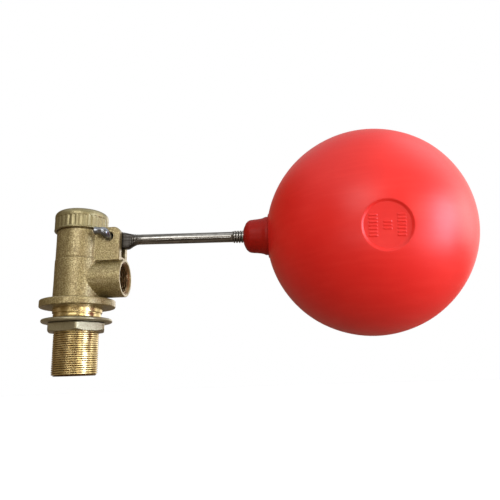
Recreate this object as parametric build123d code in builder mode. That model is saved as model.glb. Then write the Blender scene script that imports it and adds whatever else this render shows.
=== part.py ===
"""Float valve for a water tank: a brass body with a threaded tank shank, a lever and a hollow float.

Millimetres. Z runs up the body's axis and X towards the lever. The origin is on the body's axis, at the
underside of the flange that rests on the tank wall. Everything is drawn with the valve fully open.
"""
import os
from math import cos, radians, sin, sqrt

from build123d import *

# ---- threads ----
PIPE_PITCH = 2.309  # 11 threads per inch
PIPE_DEPTH = 0.64 * PIPE_PITCH
SHANK_R = 23.9  # G 1 1/2 outside
OUTLET_R = 16.62  # G 1 outside
CAP_PITCH = 2.0
ROD_PITCH = 3.0

# ---- valve body ----
FLANGE_R = 40.8
FLANGE_H = 8.6
FLANGE_EDGE_R = 1.6
SHANK_END = -73.3
SHANK_BORE_R = 17.0
SHANK_CHAMFER = 1.9
COLLAR_R = 26.6
COLLAR_LOW_R = 25.7
COLLAR_END = -11.4
GROOVE_DEPTH = 0.9  # turned between the collar's two bands
GROOVE_LOW_Z = -7.0
GROOVE_TOP_Z = -6.2
FULL_THREAD_TOP = -28.9
THREAD_RELIEF = 0.3  # above there the thread is this much smaller
BODY_R = 26.7
LOWER_BODY_R = 27.3
PARTING_Z = 54.5
SHOULDER_Z = 87.1
RIM_Z = 103.0
NECK_R = 26.3
NECK_THREAD_DEPTH = 0.9
CHAMBER_R = 21.0
CHAMBER_Z = 11.0
SEAT_POCKET_R = 19.0
SEAT_POCKET_Z = 2.0

# ---- side outlet ----
OUTLET_Z = 32.0
OUTLET_BOSS_R = 21.25
OUTLET_FACE_X = 53.8
OUTLET_THREAD_LENGTH = 19.0
OUTLET_PORT_R = 14.0
OUTLET_MOUTH_R = 18.4
OUTLET_MOUTH_DEPTH = 3.2

# ---- slotted boss and pivot ----
BOSS_X = 50.4
BOSS_HALF_W = 14.5
BOSS_LOW_Z = 50.8
BOSS_TOP_Z = 89.6
BOSS_CORNER = 7.0
BOSS_EDGE_R = 1.8
BOSS_BACK_X = 31.5  # the top is cut away behind this to clear the cap
SLOT_HALF_W = 6.2
SLOT_MOUTH_Z = 56.0
SLOT_WALL_Z = 62.0
SLOT_WALL_TOP_Z = 84.5
SLOT_MOUTH_X = 30.6
PIVOT_X = 38.0
PIVOT_Z = 77.3
PIN_R = 3.85
PIN_HOLE_R = 5.0

# ---- lever ----
DROOP = 1.5  # degrees below level with the valve open
SWING = 18.0  # degrees from open to closed
NOSE_ARM = 30.0
NOSE_R = 5.0
BLADE_T = 9.6
ROD_R = 5.9
ROD_THREAD_R = 6.9
ROD_THREAD_START = 137.0
ROD_END = 167.0

# ---- float ----
FLOAT_R = 112.4
FLOAT_WALL = 2.5
FLOAT_U = 289.6  # pivot to float centre, along the lever
NECK_U = 151.5  # pivot to the end of the float's neck
DISC_FLOOR = 108.0  # from the float's centre to the floor of the sunk disc
DISC_R = 21.2
DISC_DRAFT = 55.0  # degrees that its wall leans outwards
DISC_TURN = 102.0  # about the lever's axis, from straight up towards the near side

# ---- piston ----
LIFT = NOSE_ARM * (sin(radians(SWING - DROOP)) + sin(radians(DROOP)))
PISTON_R = 20.92
SEAT_TOP_Z = 17.0
SEAT_BORE_R = 12.0
SEAL_GAP = 0.3
SEAL_Z = SEAT_TOP_Z + SEAL_GAP + LIFT
SEAL_R = 16.0
SEAL_T = 4.0
RING_T = 2.4
WINDOW_GAP = 0.32

# ---- cap ----
CAP_R = 29.9
CAP_LOW_Z = 87.5
CAP_TOP_Z = 111.3
CAP_BORE_R = 26.75
CAP_CEILING_Z = 105.6
CAP_WALL_R = 29.3  # between the grip ribs
RIB_TOP_Z = 101.8
RIB_COUNT = 32
RIB_R = 1.55
SHOULDER_R = 6.6

# ---- clamp washer and backnut ----
WASHER_R = 38.0
WASHER_TOP_Z = -12.4
WASHER_T = 4.2
WASHER_EDGE_R = 1.9
NUT_BORE_R = 24.2
NUT_ACROSS_FLATS = 58.5
NUT_TOP_Z = -17.0
NUT_H = 9.6
NUT_CORNER_AZ = -68.0

os.makedirs("parts", exist_ok=True)


def save(piece, name):
    """Label one finished piece and write its STEP file."""
    piece.label = name
    export_step(piece, f"parts/{name}.step")


def lever_plane():
    """Plane of the lever's side view: x out along the lever from the pivot, y up, facing the near side."""
    along = (cos(radians(DROOP)), 0, -sin(radians(DROOP)))
    return Plane(origin=(PIVOT_X, 0, PIVOT_Z), x_dir=along, z_dir=(0, -1, 0))


def draw_outline(*points):
    """Closed outline through straight runs, filled."""
    Polygon(*points, align=None)


def draw_grooves(crest_r, root_r, start, end, pitch):
    """Sections of the V grooves between thread crests, in (radius, axial) coordinates."""
    crest_flat = 0.35
    root_flat = 0.25
    widen = 0.25
    skip = 0.3 if crest_r > root_r else -0.3
    for i in range(int((end - start) / pitch)):
        low = start + i * pitch + crest_flat
        high = start + (i + 1) * pitch
        middle = (low + high) / 2
        draw_outline(
            (crest_r + skip, low - widen),
            (root_r, middle - root_flat / 2),
            (root_r, middle + root_flat / 2),
            (crest_r + skip, high + widen),
        )


# ---- valve body ----
with BuildPart() as valve_body:
    with BuildSketch(Plane.XZ):
        draw_outline(
            (0, SHANK_END),
            (SHANK_R - SHANK_CHAMFER, SHANK_END),
            (SHANK_R, SHANK_END + SHANK_CHAMFER),
            (SHANK_R, FULL_THREAD_TOP),
            (SHANK_R - THREAD_RELIEF, FULL_THREAD_TOP + THREAD_RELIEF),
            (SHANK_R - THREAD_RELIEF, COLLAR_END),
            (COLLAR_LOW_R - 0.5, COLLAR_END),
            (COLLAR_LOW_R, COLLAR_END + 0.5),
            (COLLAR_LOW_R, GROOVE_LOW_Z - 0.4),
            (COLLAR_LOW_R - GROOVE_DEPTH, GROOVE_LOW_Z),
            (COLLAR_LOW_R - GROOVE_DEPTH, GROOVE_TOP_Z),
            (COLLAR_R, GROOVE_TOP_Z + 0.4),
            (COLLAR_R, 0),
            (FLANGE_R, 0),
            (FLANGE_R, FLANGE_H),
            (LOWER_BODY_R, FLANGE_H),
            (LOWER_BODY_R - 0.2, PARTING_Z - 0.3),
            (BODY_R, PARTING_Z + 0.1),
            (BODY_R - 0.1, SHOULDER_Z),
            (NECK_R, SHOULDER_Z),
            (NECK_R, RIM_Z - 0.6),
            (NECK_R - 0.6, RIM_Z),
            (0, RIM_Z),
        )
    revolve(axis=Axis.Z)
    rim = valve_body.edges().filter_by(GeomType.CIRCLE).filter_by(lambda e: abs(e.radius - FLANGE_R) < 0.01)
    fillet(rim, FLANGE_EDGE_R)
    # side outlet
    with BuildSketch(Plane.YZ):
        with Locations((0, OUTLET_Z)):
            Circle(OUTLET_BOSS_R)
    extrude(amount=OUTLET_FACE_X)
    # boss that carries the lever
    with BuildSketch(Plane.XZ.offset(-BOSS_HALF_W)):
        with BuildLine():
            corner_low = (BOSS_X, BOSS_TOP_Z - BOSS_CORNER)
            corner_top = (BOSS_X - BOSS_CORNER, BOSS_TOP_Z)
            Polyline((0, BOSS_LOW_Z), (BOSS_X, BOSS_LOW_Z), corner_low)
            RadiusArc(corner_low, corner_top, -BOSS_CORNER - 0.5)
            Polyline(
                corner_top,
                (BOSS_BACK_X, BOSS_TOP_Z),
                (BOSS_BACK_X, SHOULDER_Z),
                (0, SHOULDER_Z),
                (0, BOSS_LOW_Z),
            )
        make_face()
    extrude(amount=2 * BOSS_HALF_W)
    mouth = valve_body.edges().filter_by(Axis.Z).filter_by(lambda e: abs(e.center().X - BOSS_X) < 0.01)
    fillet(mouth, BOSS_EDGE_R)
    # top bore, chamber and inlet bore
    with BuildSketch(Plane.XZ):
        draw_outline(
            (0, SHANK_END),
            (SHANK_BORE_R, SHANK_END),
            (SHANK_BORE_R, SEAT_POCKET_Z),
            (SEAT_POCKET_R, SEAT_POCKET_Z),
            (SEAT_POCKET_R, CHAMBER_Z),
            (CHAMBER_R, CHAMBER_Z),
            (CHAMBER_R, RIM_Z),
            (0, RIM_Z),
        )
    revolve(axis=Axis.Z, mode=Mode.SUBTRACT)
    # outlet bore: chamfered mouth, threaded length, port into the chamber
    with BuildSketch(Plane.XZ):
        draw_outline(
            (CHAMBER_R - 8, OUTLET_Z),
            (CHAMBER_R - 8, OUTLET_Z + OUTLET_PORT_R),
            (OUTLET_FACE_X - OUTLET_THREAD_LENGTH, OUTLET_Z + OUTLET_PORT_R),
            (OUTLET_FACE_X - OUTLET_THREAD_LENGTH, OUTLET_Z + OUTLET_R - PIPE_DEPTH),
            (OUTLET_FACE_X - OUTLET_MOUTH_DEPTH, OUTLET_Z + OUTLET_R - PIPE_DEPTH),
            (OUTLET_FACE_X, OUTLET_Z + OUTLET_MOUTH_R),
            (OUTLET_FACE_X, OUTLET_Z),
        )
    outlet_axis = Axis((0, 0, OUTLET_Z), (1, 0, 0))
    revolve(axis=outlet_axis, mode=Mode.SUBTRACT)
    # lever slot: through the boss, then lower and closed at the top where it pierces the bore's wall
    with BuildSketch(Plane.XZ.offset(-SLOT_HALF_W)):
        draw_outline(
            (SLOT_MOUTH_X, SLOT_MOUTH_Z),
            (BOSS_X + 1, SLOT_MOUTH_Z),
            (BOSS_X + 1, BOSS_TOP_Z + 1),
            (SLOT_MOUTH_X, BOSS_TOP_Z + 1),
        )
        draw_outline(
            (CHAMBER_R - 6, SLOT_WALL_Z),
            (SLOT_MOUTH_X + 0.4, SLOT_WALL_Z),
            (SLOT_MOUTH_X + 0.4, SLOT_WALL_TOP_Z),
            (CHAMBER_R - 6, SLOT_WALL_TOP_Z),
        )
    extrude(amount=2 * SLOT_HALF_W, mode=Mode.SUBTRACT)
    # pivot hole
    with BuildSketch(Plane.XZ.offset(-BOSS_HALF_W - 1)):
        with Locations((PIVOT_X, PIVOT_Z + PIN_HOLE_R - PIN_R)):
            Circle(PIN_HOLE_R)
    extrude(amount=2 * BOSS_HALF_W + 2, mode=Mode.SUBTRACT)
    # threads
    with BuildSketch(Plane.XZ):
        draw_grooves(SHANK_R, SHANK_R - PIPE_DEPTH, SHANK_END + 2.4, COLLAR_END - 1.5, PIPE_PITCH)
        draw_grooves(NECK_R, NECK_R - NECK_THREAD_DEPTH, SHOULDER_Z + 1.5, RIM_Z - 1.0, CAP_PITCH)
    revolve(axis=Axis.Z, mode=Mode.SUBTRACT)
    outlet_plane = Plane(origin=(0, 0, OUTLET_Z), x_dir=(0, 1, 0), z_dir=(0, 0, -1))
    with BuildSketch(outlet_plane):
        draw_grooves(
            OUTLET_R - PIPE_DEPTH,
            OUTLET_R,
            OUTLET_FACE_X - OUTLET_THREAD_LENGTH + 1.0,
            OUTLET_FACE_X - 2.6,
            PIPE_PITCH,
        )
    revolve(axis=outlet_axis, mode=Mode.SUBTRACT)
save(valve_body.part, "valve_body")

# ---- seat ----
SEAT_FLANGE_R = CHAMBER_R - 0.4
GASKET_T = 1.2
SEAT_FLANGE_Z = CHAMBER_Z + GASKET_T

with BuildPart() as seat_ring:
    with BuildSketch(Plane.XZ):
        with BuildLine():
            Polyline(
                (SEAT_BORE_R + 2.0, SEAT_TOP_Z - 1.0),
                (SEAT_BORE_R + 3.0, SEAT_FLANGE_Z + 2.6),
                (SEAT_FLANGE_R, SEAT_FLANGE_Z + 2.6),
                (SEAT_FLANGE_R, SEAT_FLANGE_Z),
                (SEAT_POCKET_R - 0.05, SEAT_FLANGE_Z),
                (SEAT_POCKET_R - 0.05, SEAT_POCKET_Z + 0.3),
                (SHANK_BORE_R - 0.6, SEAT_POCKET_Z + 0.3),
                (SEAT_BORE_R, SEAT_POCKET_Z + 5.3),
                (SEAT_BORE_R, SEAT_TOP_Z - 1.0),
            )
            ThreePointArc(
                (SEAT_BORE_R, SEAT_TOP_Z - 1.0),
                (SEAT_BORE_R + 1.0, SEAT_TOP_Z),
                (SEAT_BORE_R + 2.0, SEAT_TOP_Z - 1.0),
            )
        make_face()
    revolve(axis=Axis.Z)
save(seat_ring.part, "seat_ring")

with BuildPart() as seat_gasket:
    with BuildSketch(Plane.XY.offset(CHAMBER_Z)):
        Circle(SEAT_FLANGE_R)
        Circle(SEAT_POCKET_R, mode=Mode.SUBTRACT)
    extrude(amount=GASKET_T)
save(seat_gasket.part, "seat_gasket")

# ---- piston ----
FOOT_Z = SEAL_Z + 1.2
FOOT_R = 18.5
FOOT_TOP_Z = FOOT_Z + 6.8
STEM_R = 9.0
HEAD_Z = 56.9
PISTON_TOP_Z = CAP_CEILING_Z - 0.3
LOWER_RING_Z = HEAD_Z + 1.3
UPPER_RING_Z = PISTON_TOP_Z - 6.8
RING_ROOT_R = CHAMBER_R - RING_T
NOSE_X = PIVOT_X - NOSE_ARM * cos(radians(DROOP))
NOSE_Z = PIVOT_Z + NOSE_ARM * sin(radians(DROOP))
WINDOW_HALF_H = NOSE_R + WINDOW_GAP
SCREW_R = 3.0
SCREW_HOLE_DEPTH = 18.0
HOLLOW_R = 13.0  # open top of the piston
HOLLOW_DEPTH = 14.0

with BuildPart() as piston:
    with BuildSketch(Plane.XZ):
        draw_outline(
            (0, FOOT_Z),
            (FOOT_R - 0.8, FOOT_Z),
            (FOOT_R, FOOT_Z + 0.8),
            (FOOT_R, FOOT_TOP_Z - 1.5),
            (FOOT_R - 1.5, FOOT_TOP_Z),
            (STEM_R, FOOT_TOP_Z + 2.5),
            (STEM_R, HEAD_Z - 6.0),
            (PISTON_R - 1.0, HEAD_Z),
            (PISTON_R, HEAD_Z + 1.0),
            (PISTON_R, LOWER_RING_Z),
            (RING_ROOT_R, LOWER_RING_Z),
            (RING_ROOT_R, LOWER_RING_Z + RING_T),
            (PISTON_R, LOWER_RING_Z + RING_T),
            (PISTON_R, UPPER_RING_Z),
            (RING_ROOT_R, UPPER_RING_Z),
            (RING_ROOT_R, UPPER_RING_Z + RING_T),
            (PISTON_R, UPPER_RING_Z + RING_T),
            (PISTON_R, PISTON_TOP_Z - 1.0),
            (PISTON_R - 1.0, PISTON_TOP_Z),
            (0, PISTON_TOP_Z),
        )
    revolve(axis=Axis.Z)
    # recess for the seal disc, hole for its screw, and the hollow top
    with BuildSketch(Plane.XY.offset(FOOT_Z)):
        Circle(SEAL_R + 0.05)
    extrude(amount=SEAL_Z + SEAL_T - FOOT_Z, mode=Mode.SUBTRACT)
    with BuildSketch(Plane.XY.offset(SEAL_Z)):
        Circle(SCREW_R + 0.05)
    extrude(amount=SCREW_HOLE_DEPTH, mode=Mode.SUBTRACT)
    with BuildSketch(Plane.XY.offset(PISTON_TOP_Z)):
        Circle(HOLLOW_R)
    extrude(amount=-HOLLOW_DEPTH, mode=Mode.SUBTRACT)
    # window for the lever's nose: snug round the nose, opening upwards towards the slot
    with BuildSketch(Plane.XZ.offset(-SLOT_HALF_W + 0.6)):
        draw_outline(
            (NOSE_X - 6.8, NOSE_Z - WINDOW_HALF_H),
            (CHAMBER_R + 1, NOSE_Z - WINDOW_HALF_H),
            (CHAMBER_R + 1, NOSE_Z + 9.4),
            (NOSE_X + 3.2, NOSE_Z + WINDOW_HALF_H),
            (NOSE_X - 6.8, NOSE_Z + WINDOW_HALF_H),
        )
    extrude(amount=2 * (SLOT_HALF_W - 0.6), mode=Mode.SUBTRACT)
save(piston.part, "piston")


def build_ring(name, low_z):
    """One O-ring as it sits squeezed between its groove and the bore."""
    with BuildPart() as ring:
        with BuildSketch(Plane.XZ):
            with Locations((CHAMBER_R - RING_T / 2, low_z + RING_T / 2)):
                Circle(RING_T / 2 - 0.02)
        revolve(axis=Axis.Z)
    save(ring.part, name)


build_ring("piston_oring_lower", LOWER_RING_Z)
build_ring("piston_oring_upper", UPPER_RING_Z)

with BuildPart() as seal_disc:
    with BuildSketch(Plane.XY.offset(SEAL_Z)):
        Circle(SEAL_R)
        Circle(SCREW_R + 0.1, mode=Mode.SUBTRACT)
    extrude(amount=SEAL_T)
save(seal_disc.part, "seal_disc")

SEAL_WASHER_T = 1.5
SEAL_WASHER_R = 7.0

with BuildPart() as seal_washer:
    with BuildSketch(Plane.XY.offset(SEAL_Z - SEAL_WASHER_T)):
        Circle(SEAL_WASHER_R)
        Circle(SCREW_R + 0.1, mode=Mode.SUBTRACT)
    extrude(amount=SEAL_WASHER_T)
    chamfer(seal_washer.faces().sort_by(Axis.Z)[0].outer_wire().edges(), 0.4)
save(seal_washer.part, "seal_washer")

SCREW_HEAD_Z = SEAL_Z - SEAL_WASHER_T
SCREW_HEAD_H = 3.6
SCREW_HEAD_FLATS = 10.0

with BuildPart() as seal_screw:
    with BuildSketch(Plane.XY.offset(SCREW_HEAD_Z - SCREW_HEAD_H)):
        RegularPolygon(SCREW_HEAD_FLATS / 2, 6, major_radius=False)
    extrude(amount=SCREW_HEAD_H)
    with BuildSketch(Plane.XY.offset(SCREW_HEAD_Z)):
        Circle(SCREW_R)
    extrude(amount=SCREW_HOLE_DEPTH - 1.0)
    chamfer(seal_screw.faces().sort_by(Axis.Z)[-1].edges(), 0.6)
save(seal_screw.part, "seal_screw")

# ---- cap and its gasket ----
LIP_TOP_Z = CAP_LOW_Z + 2.3

with BuildPart() as cap:
    with BuildSketch(Plane.XZ):
        with BuildLine():
            shoulder_low = (CAP_R - 0.2, CAP_TOP_Z - SHOULDER_R)
            shoulder_top = (CAP_R - 6.5, CAP_TOP_Z - 0.6)
            Polyline(
                (0, CAP_TOP_Z),
                (0, CAP_CEILING_Z),
                (CAP_BORE_R, CAP_CEILING_Z),
                (CAP_BORE_R, CAP_LOW_Z),
                (CAP_R - 1.0, CAP_LOW_Z),
                (CAP_R, CAP_LOW_Z + 1.0),
                (CAP_R, LIP_TOP_Z - 0.4),
                (CAP_WALL_R, LIP_TOP_Z),
                (CAP_WALL_R, RIB_TOP_Z),
                (CAP_R - 0.2, RIB_TOP_Z + 0.4),
                shoulder_low,
            )
            RadiusArc(shoulder_low, shoulder_top, -SHOULDER_R)
            Polyline(shoulder_top, (CAP_R - 8.5, CAP_TOP_Z), (0, CAP_TOP_Z))
        make_face()
    revolve(axis=Axis.Z)
    # grip ribs
    with BuildSketch(Plane.XY.offset(LIP_TOP_Z - 0.3)):
        with PolarLocations(CAP_R - RIB_R, RIB_COUNT):
            Circle(RIB_R)
    extrude(amount=RIB_TOP_Z - LIP_TOP_Z + 0.6)
save(cap.part, "cap")

with BuildPart() as cap_gasket:
    with BuildSketch(Plane.XY.offset(RIM_Z + 0.3)):
        Circle(CAP_BORE_R - 0.4)
        Circle(CHAMBER_R + 0.4, mode=Mode.SUBTRACT)
    extrude(amount=CAP_CEILING_Z - RIM_Z - 0.6)
save(cap_gasket.part, "cap_gasket")

# ---- lever: nose, blade, rod and threaded end ----
with BuildPart() as lever_arm:
    with BuildSketch(lever_plane().offset(-BLADE_T / 2)):
        with BuildLine():
            Polyline((-NOSE_ARM + 3.2, 3.85), (-15, 4.4), (-6, 6.9))
            Spline((-6, 6.9), (4, 8.8), (17.5, 7.4), (28, 4.6), tangents=((1, 0.35), (1, -0.15)))
            Polyline((28, 4.6), (28, -5.2))
            Spline((28, -5.2), (23.5, -7.7), (19.8, -10.6), tangents=((-1, -0.25), (-0.6, -1)))
            Polyline((19.8, -10.6), (14, -10.9), (-4, -9.4), (-15.5, -4.4), (-NOSE_ARM + 3.2, -3.85))
            Line((-NOSE_ARM + 3.2, -3.85), (-NOSE_ARM + 3.2, 3.85))
        make_face()
        with Locations((-NOSE_ARM, 0)):
            Circle(NOSE_R)
    extrude(amount=BLADE_T)
    # pivot eye
    with BuildSketch(lever_plane().offset(-BLADE_T)):
        Circle(PIN_R + 0.07)
    extrude(amount=2 * BLADE_T, mode=Mode.SUBTRACT)
    # rod, thread run-out and thread
    with BuildSketch(lever_plane()):
        draw_outline(
            (22, 0),
            (22, 3.6),
            (25, 5.0),
            (27, ROD_R),
            (ROD_THREAD_START, ROD_R),
            (ROD_THREAD_START + 4, ROD_THREAD_R),
            (ROD_END - 1.5, ROD_THREAD_R),
            (ROD_END, ROD_THREAD_R - 1.5),
            (ROD_END, 0),
        )
    rod_axis = Axis((PIVOT_X, 0, PIVOT_Z), lever_plane().x_dir)
    revolve(axis=rod_axis)
    thread_plane = Plane(origin=(PIVOT_X, 0, PIVOT_Z), x_dir=(0, 1, 0), z_dir=lever_plane().y_dir * -1)
    with BuildSketch(thread_plane):
        draw_grooves(ROD_THREAD_R, ROD_THREAD_R - 1.3, ROD_THREAD_START + 2.6, ROD_END - 1.0, ROD_PITCH)
    revolve(axis=rod_axis, mode=Mode.SUBTRACT)
save(lever_arm.part, "lever_arm")

# ---- split pin: two half-round legs, an eye at the back and both legs bent over in front ----
EYE_R = 5.6
EYE_WIRE_R = 1.9
LEG_GAP = 0.15
PIN_BACK_Y = BOSS_HALF_W + 2.2
PIN_BEND_R = 5.0
PIN_TURN = (PIVOT_X, -18.6, PIVOT_Z)
PIN_KNUCKLE = (35.5, -22.8, 82.4)
PIN_TIP = (23.6, -23.0, 83.2)

with BuildLine() as pin_route:
    FilletPolyline((PIVOT_X, PIN_BACK_Y, PIVOT_Z), PIN_TURN, PIN_KNUCKLE, PIN_TIP, radius=PIN_BEND_R)

pin_section = Plane(origin=(PIVOT_X, PIN_BACK_Y, PIVOT_Z), x_dir=(0.3, 0, 0.95), z_dir=(0, -1, 0))
with BuildPart() as pivot_pin:
    for side in (-1, 1):
        with BuildSketch(pin_section):
            Circle(PIN_R)
            with Locations((side * (LEG_GAP - PIN_R), 0)):
                Rectangle(2 * PIN_R, 2 * PIN_R + 1, mode=Mode.SUBTRACT)
        sweep(path=pin_route.wires()[0])
    eye_plane = Plane(
        origin=(PIVOT_X, PIN_BACK_Y + EYE_R, PIVOT_Z), x_dir=(0, 1, 0), z_dir=(-0.95, 0, 0.3)
    )
    with Locations(eye_plane):
        Torus(EYE_R, EYE_WIRE_R)
save(pivot_pin.part, "pivot_pin")

# ---- float: hollow ball with a neck, a sunk disc on the near side ----
INNER_R = FLOAT_R - FLOAT_WALL
BUSH_R = 12.0
BUSH_U = NECK_U + 2.2
BUSH_END = 174.0
BUSH_BORE_R = ROD_THREAD_R + 0.1
NECK_STEP_R = 24.6
THROAT_R = 14.0
DISC_PAD_R = DISC_R + 5.0
TALLY_BAR = (7.2, 1.5)
TALLY_STEP = 3.1
TALLY_HEIGHT = 0.5


def sphere_u(radius, distance):
    """Place along the lever where the sphere on the neck's side is this far from the lever's axis."""
    return FLOAT_U - sqrt(radius**2 - distance**2)


disc_angle = radians(DISC_TURN)
disc_dir = lever_plane().y_dir * cos(disc_angle) + Vector(0, -1, 0) * sin(disc_angle)
float_centre = lever_plane().from_local_coords(Vector(FLOAT_U, 0, 0))


def disc_plane(distance):
    """Plane facing out through the sunk disc, this far from the float's centre."""
    return Plane(origin=float_centre + disc_dir * distance, x_dir=lever_plane().x_dir, z_dir=disc_dir)


with BuildPart() as float_ball:
    with BuildSketch(lever_plane()):
        with BuildLine():
            Polyline((NECK_U, 0), (NECK_U, 8.2), (NECK_U + 3.0, 15.2))
            RadiusArc((NECK_U + 3.0, 15.2), (NECK_U + 7.4, 18.4), 5.5)
            Spline(
                (NECK_U + 7.4, 18.4),
                (NECK_U + 21, 19.9),
                (sphere_u(FLOAT_R, NECK_STEP_R) - 0.7, NECK_STEP_R - 2.0),
                tangents=((1, 0.08), (1, 0.5)),
            )
            Polyline(
                (sphere_u(FLOAT_R, NECK_STEP_R) - 0.7, NECK_STEP_R - 2.0),
                (sphere_u(FLOAT_R, NECK_STEP_R) - 0.7, NECK_STEP_R),
                (sphere_u(FLOAT_R, NECK_STEP_R), NECK_STEP_R),
            )
            RadiusArc((sphere_u(FLOAT_R, NECK_STEP_R), NECK_STEP_R), (FLOAT_U + FLOAT_R, 0), FLOAT_R)
            Line((FLOAT_U + FLOAT_R, 0), (NECK_U, 0))
        make_face()
    revolve(axis=rod_axis)
    # inside: seat of the bush, throat and hollow
    with BuildSketch(lever_plane()):
        with BuildLine():
            Polyline(
                (NECK_U, 0),
                (NECK_U, ROD_THREAD_R + 0.5),
                (BUSH_U, ROD_THREAD_R + 0.5),
                (BUSH_U, BUSH_R),
                (BUSH_END, BUSH_R),
                (BUSH_END, THROAT_R),
                (sphere_u(INNER_R, THROAT_R), THROAT_R),
            )
            RadiusArc((sphere_u(INNER_R, THROAT_R), THROAT_R), (FLOAT_U + INNER_R, 0), INNER_R)
            Line((FLOAT_U + INNER_R, 0), (NECK_U, 0))
        make_face()
    revolve(axis=rod_axis, mode=Mode.SUBTRACT)
    # thickened wall behind the disc, then the sunk disc with three rows of plain raised bars
    with BuildSketch(disc_plane(DISC_FLOOR - FLOAT_WALL)):
        Circle(DISC_PAD_R)
    extrude(amount=FLOAT_WALL + 0.2)
    with BuildSketch(disc_plane(DISC_FLOOR)):
        Circle(DISC_R)
    extrude(amount=5, taper=-DISC_DRAFT, mode=Mode.SUBTRACT)
    for row, bars in ((-12.6, 7), (0, 3), (12.6, 7)):
        with BuildSketch(disc_plane(DISC_FLOOR)):
            with Locations((row, 0)):
                with GridLocations(TALLY_BAR[0], TALLY_STEP, 1, bars):
                    Rectangle(*TALLY_BAR)
        extrude(amount=TALLY_HEIGHT)
save(float_ball.part, "float_ball")

with BuildPart() as float_bush:
    with BuildSketch(lever_plane()):
        draw_outline(
            (BUSH_U, BUSH_BORE_R),
            (BUSH_U, BUSH_R),
            (BUSH_END, BUSH_R),
            (BUSH_END, 0),
            (ROD_END + 1.5, 0),
            (ROD_END + 1.5, BUSH_BORE_R),
        )
    revolve(axis=rod_axis)
save(float_bush.part, "float_bush")

# ---- clamp washer and backnut on the shank ----
with BuildPart() as clamp_washer:
    with BuildSketch(Plane.XZ):
        draw_outline(
            (NUT_BORE_R, WASHER_TOP_Z),
            (WASHER_R, WASHER_TOP_Z),
            (WASHER_R, WASHER_TOP_Z - WASHER_T),
            (NUT_BORE_R, WASHER_TOP_Z - WASHER_T),
        )
    revolve(axis=Axis.Z)
    outer = clamp_washer.edges().filter_by(GeomType.CIRCLE).filter_by(lambda e: abs(e.radius - WASHER_R) < 0.01)
    fillet(outer, WASHER_EDGE_R)
save(clamp_washer.part, "clamp_washer")

with BuildPart() as backnut:
    with BuildSketch(Plane.XY.offset(NUT_TOP_Z - NUT_H)):
        RegularPolygon(NUT_ACROSS_FLATS / 2, 6, major_radius=False, rotation=NUT_CORNER_AZ)
    extrude(amount=NUT_H)
    # corners turned off at both ends
    nut_face_r = NUT_ACROSS_FLATS / 2 - 0.4
    nut_corner_r = NUT_ACROSS_FLATS / sqrt(3) + 0.1
    with BuildSketch(Plane.XZ):
        draw_outline(
            (NUT_BORE_R, NUT_TOP_Z),
            (nut_face_r, NUT_TOP_Z),
            (nut_corner_r, NUT_TOP_Z - 1.4),
            (nut_corner_r, NUT_TOP_Z - NUT_H + 2.6),
            (nut_face_r, NUT_TOP_Z - NUT_H),
            (NUT_BORE_R, NUT_TOP_Z - NUT_H),
        )
    revolve(axis=Axis.Z, mode=Mode.INTERSECT)
save(backnut.part, "backnut")
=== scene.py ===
from math import ceil, cos, exp, hypot, pi, radians, sin, sqrt, tau

import bmesh
import bpy
from mathutils import Matrix, Vector, noise


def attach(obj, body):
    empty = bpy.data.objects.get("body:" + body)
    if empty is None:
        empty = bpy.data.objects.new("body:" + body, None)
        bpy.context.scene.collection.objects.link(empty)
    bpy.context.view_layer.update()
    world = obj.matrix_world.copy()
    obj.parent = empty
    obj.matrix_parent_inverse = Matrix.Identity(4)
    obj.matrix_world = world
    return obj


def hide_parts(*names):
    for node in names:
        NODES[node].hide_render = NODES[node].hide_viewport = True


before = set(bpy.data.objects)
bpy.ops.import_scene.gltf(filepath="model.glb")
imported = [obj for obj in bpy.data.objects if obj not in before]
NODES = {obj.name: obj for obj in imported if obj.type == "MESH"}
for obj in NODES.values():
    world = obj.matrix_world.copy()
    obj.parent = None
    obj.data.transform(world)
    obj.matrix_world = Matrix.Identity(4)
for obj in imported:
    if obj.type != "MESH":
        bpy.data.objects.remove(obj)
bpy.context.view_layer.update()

MM = 0.001

# Lengths are millimetres in the CAD frame, except in the studio part at the end, and every mesh is
# scaled by MM when it is made.

# ---- camera: in front of the valve, a little below it and looking up ----
CAMERA_PLACE = (235.3, -529.8, -76.5)
CAMERA_PITCH = 14.15
CAMERA_YAW = 4.26
CAMERA_ROLL = -1.93
CAMERA_LENS = 35.18

# ---- body casting ----
SHANK_END = -73.3
SHANK_CHAMFER = 1.9
SHANK_R = 23.9
SHANK_BORE_R = 17.0
PIPE_PITCH = 2.309
PIPE_DEPTH = 1.45
COLLAR_R = 26.6
COLLAR_LOW_R = 25.7
COLLAR_END = -11.4
GROOVE_LOW_Z = -7.0  # groove between the collar's two bands
GROOVE_TOP_Z = -6.2
GROOVE_DEPTH = 0.95
FULL_THREAD_TOP = -28.9
THREAD_RELIEF = 0.3  # above there the thread is this much smaller
SHOULDER_Z = 87.1
RIM_Z = 103.0
NECK_R = 26.3
CHAMBER_R = 21.0
CAP_PITCH = 2.0
CAP_THREAD_DEPTH = 0.9
OUTLET_Z = 32.0
OUTLET_R = 16.62
OUTLET_FACE_X = 53.8
OUTLET_STEP_X = 34.8
OUTLET_LINER_R = 17.9
PARTING_Z = 54.5
BODY_R = 26.7
CAST_VOXEL = 0.45
OUTLET_CLEAR_R = 17.5  # the casting's own outlet ridges are pushed out to here, under the liner
TOP_CLEAR_R = 25.0  # and those under the cap are pushed in to here
TOP_LINER_R = 24.0

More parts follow.
